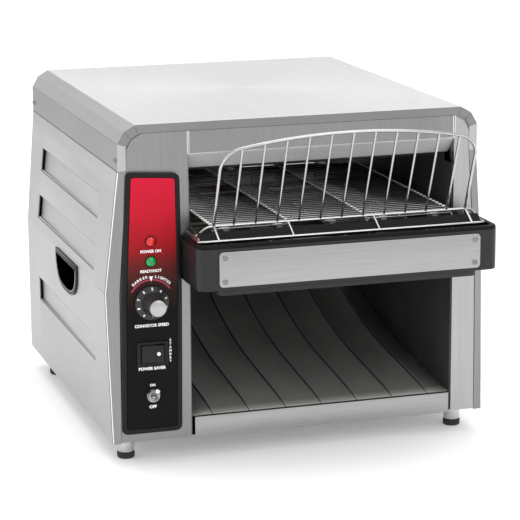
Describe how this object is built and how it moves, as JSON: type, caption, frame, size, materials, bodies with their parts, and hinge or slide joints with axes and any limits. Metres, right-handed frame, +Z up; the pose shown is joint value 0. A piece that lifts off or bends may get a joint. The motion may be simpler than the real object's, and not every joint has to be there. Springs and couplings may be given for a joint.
{
  "type": "conveyor toaster",
  "caption": "Countertop conveyor toaster with a wire belt, a wire feed rack, a front exit ramp, a crumb tray and a side control panel.",
  "frame": {"origin": "on the surface it stands on, under the middle of its bounding box", "axes": "+X to the user's right when facing the controls, +Y to the rear, +Z up"},
  "size_m": [0.4188, 0.4999, 0.3576],
  "materials": {
    "brushed_stainless": "vertical-grain brushed stainless",
    "aluminised_steel": "dull aluminised sheet",
    "heat_darkened_steel": "dark satin heat-resistant finish",
    "black_powder_coat": "satin black powder coat",
    "polished_wire": "bright plated wire",
    "belt_wire": "stainless wire, darkened by heat",
    "sintered_bronze": "plain",
    "heater_sheath": "heat-tinted sheath",
    "black_plastic": "fine satin moulding",
    "printed_label": "printed film, crimson fading to black",
    "red_lens": "clear red",
    "green_lens": "clear green",
    "chrome": "polished",
    "black_rubber": "plain",
    "circuit_board": "solder resist",
    "cast_gear_case": "as cast"
  },
  "bodies": {
    "casing": {"top_cover": "brushed_stainless", "left_side_panel": "brushed_stainless", "right_side_panel": "brushed_stainless", "left_handle_cup": "black_plastic", "right_handle_cup": "black_plastic", "base_pan": "brushed_stainless", "rear_panel": "brushed_stainless", "left_front_pillar": "brushed_stainless", "right_front_pillar": "brushed_stainless", "front_header": "brushed_stainless", "left_chamber_wall": "heat_darkened_steel", "right_chamber_wall": "heat_darkened_steel", "chamber_roof": "aluminised_steel", "lower_heat_shield": "aluminised_steel", "discharge_ramp": "heat_darkened_steel", "conveyor_belt": "belt_wire", "drive_chain": "heat_darkened_steel", "gear_motor": "cast_gear_case", "front_housing": "black_powder_coat", "housing_pan": "black_powder_coat", "front_plate": "brushed_stainless", "control_bezel": "black_plastic", "control_label": "printed_label", "speed_potentiometer": "aluminised_steel", "power_lamp": "red_lens", "ready_lamp": "green_lens", "rocker_frame": "black_plastic", "toggle_switch_body": "chrome", "fan_frame": "black_plastic", "control_board": "circuit_board", "terminal_block": "black_plastic", "cord_gland": "black_plastic", "upper_heater_1": "heater_sheath", "upper_heater_2": "heater_sheath", "upper_heater_3": "heater_sheath", "lower_heater_1": "heater_sheath", "lower_heater_2": "heater_sheath", "lower_heater_3": "heater_sheath", "front_left_bush": "sintered_bronze", "front_left_foot": "chrome", "front_left_pad": "black_rubber", "front_right_bush": "sintered_bronze", "front_right_foot": "chrome", "front_right_pad": "black_rubber", "rear_left_bush": "sintered_bronze", "rear_left_foot": "chrome", "rear_left_pad": "black_rubber", "rear_right_bush": "sintered_bronze", "rear_right_foot": "chrome", "rear_right_pad": "black_rubber"},
    "drive_shaft": {"rear_drive_shaft": "brushed_stainless"},
    "idler_shaft": {"front_idler_shaft": "brushed_stainless"},
    "motor_output": {"motor_sprocket": "heat_darkened_steel"},
    "fan_wheel": {"fan_rotor": "black_plastic"},
    "knob": {"speed_knob": "black_plastic"},
    "rocker": {"standby_rocker": "black_plastic"},
    "toggle": {"toggle_lever": "chrome"},
    "tray": {"crumb_tray": "brushed_stainless"},
    "rack": {"feed_rack": "polished_wire"}
  },
  "joints": [
    {"name": "drive_shaft_turn", "type": "hinge", "parent": "casing", "child": "drive_shaft", "pos_m": [0.024, 0.145, 0.2381], "axis": [1, 0, 0], "continuous": true},
    {"name": "idler_shaft_turn", "type": "hinge", "parent": "casing", "child": "idler_shaft", "pos_m": [0.024, -0.199, 0.2381], "axis": [1, 0, 0], "continuous": true},
    {"name": "motor_output_turn", "type": "hinge", "parent": "casing", "child": "motor_output", "pos_m": [-0.133, 0.085, 0.153], "axis": [1, 0, 0], "continuous": true},
    {"name": "fan_turn", "type": "hinge", "parent": "casing", "child": "fan_wheel", "pos_m": [-0.157, 0.2248, 0.085], "axis": [0, 1, 0], "continuous": true},
    {"name": "speed_knob_turn", "type": "hinge", "parent": "casing", "child": "knob", "pos_m": [-0.1632, -0.1828, 0.1743], "axis": [0, -1, 0], "range_deg": [-150, 150]},
    {"name": "rocker_tip", "type": "hinge", "parent": "casing", "child": "rocker", "pos_m": [-0.1632, -0.1833, 0.1205], "axis": [0, 0, 1], "range_deg": [0, 16]},
    {"name": "toggle_tip", "type": "hinge", "parent": "casing", "child": "toggle", "pos_m": [-0.1632, -0.1846, 0.0758], "axis": [1, 0, 0], "range_deg": [0, 60]},
    {"name": "crumb_tray_slide", "type": "slide", "parent": "casing", "child": "tray", "axis": [0, -1, 0], "range_m": [0, 0.3]},
    {"name": "feed_rack_lift", "type": "slide", "parent": "casing", "child": "rack", "axis": [0, 0, 1], "range_m": [0, 0.04]}
  ],
  "couplings": [
    {"joint": "idler_shaft_turn", "follows": "drive_shaft_turn", "ratio": 1},
    {"joint": "motor_output_turn", "follows": "drive_shaft_turn", "ratio": 1.4961}
  ]
}
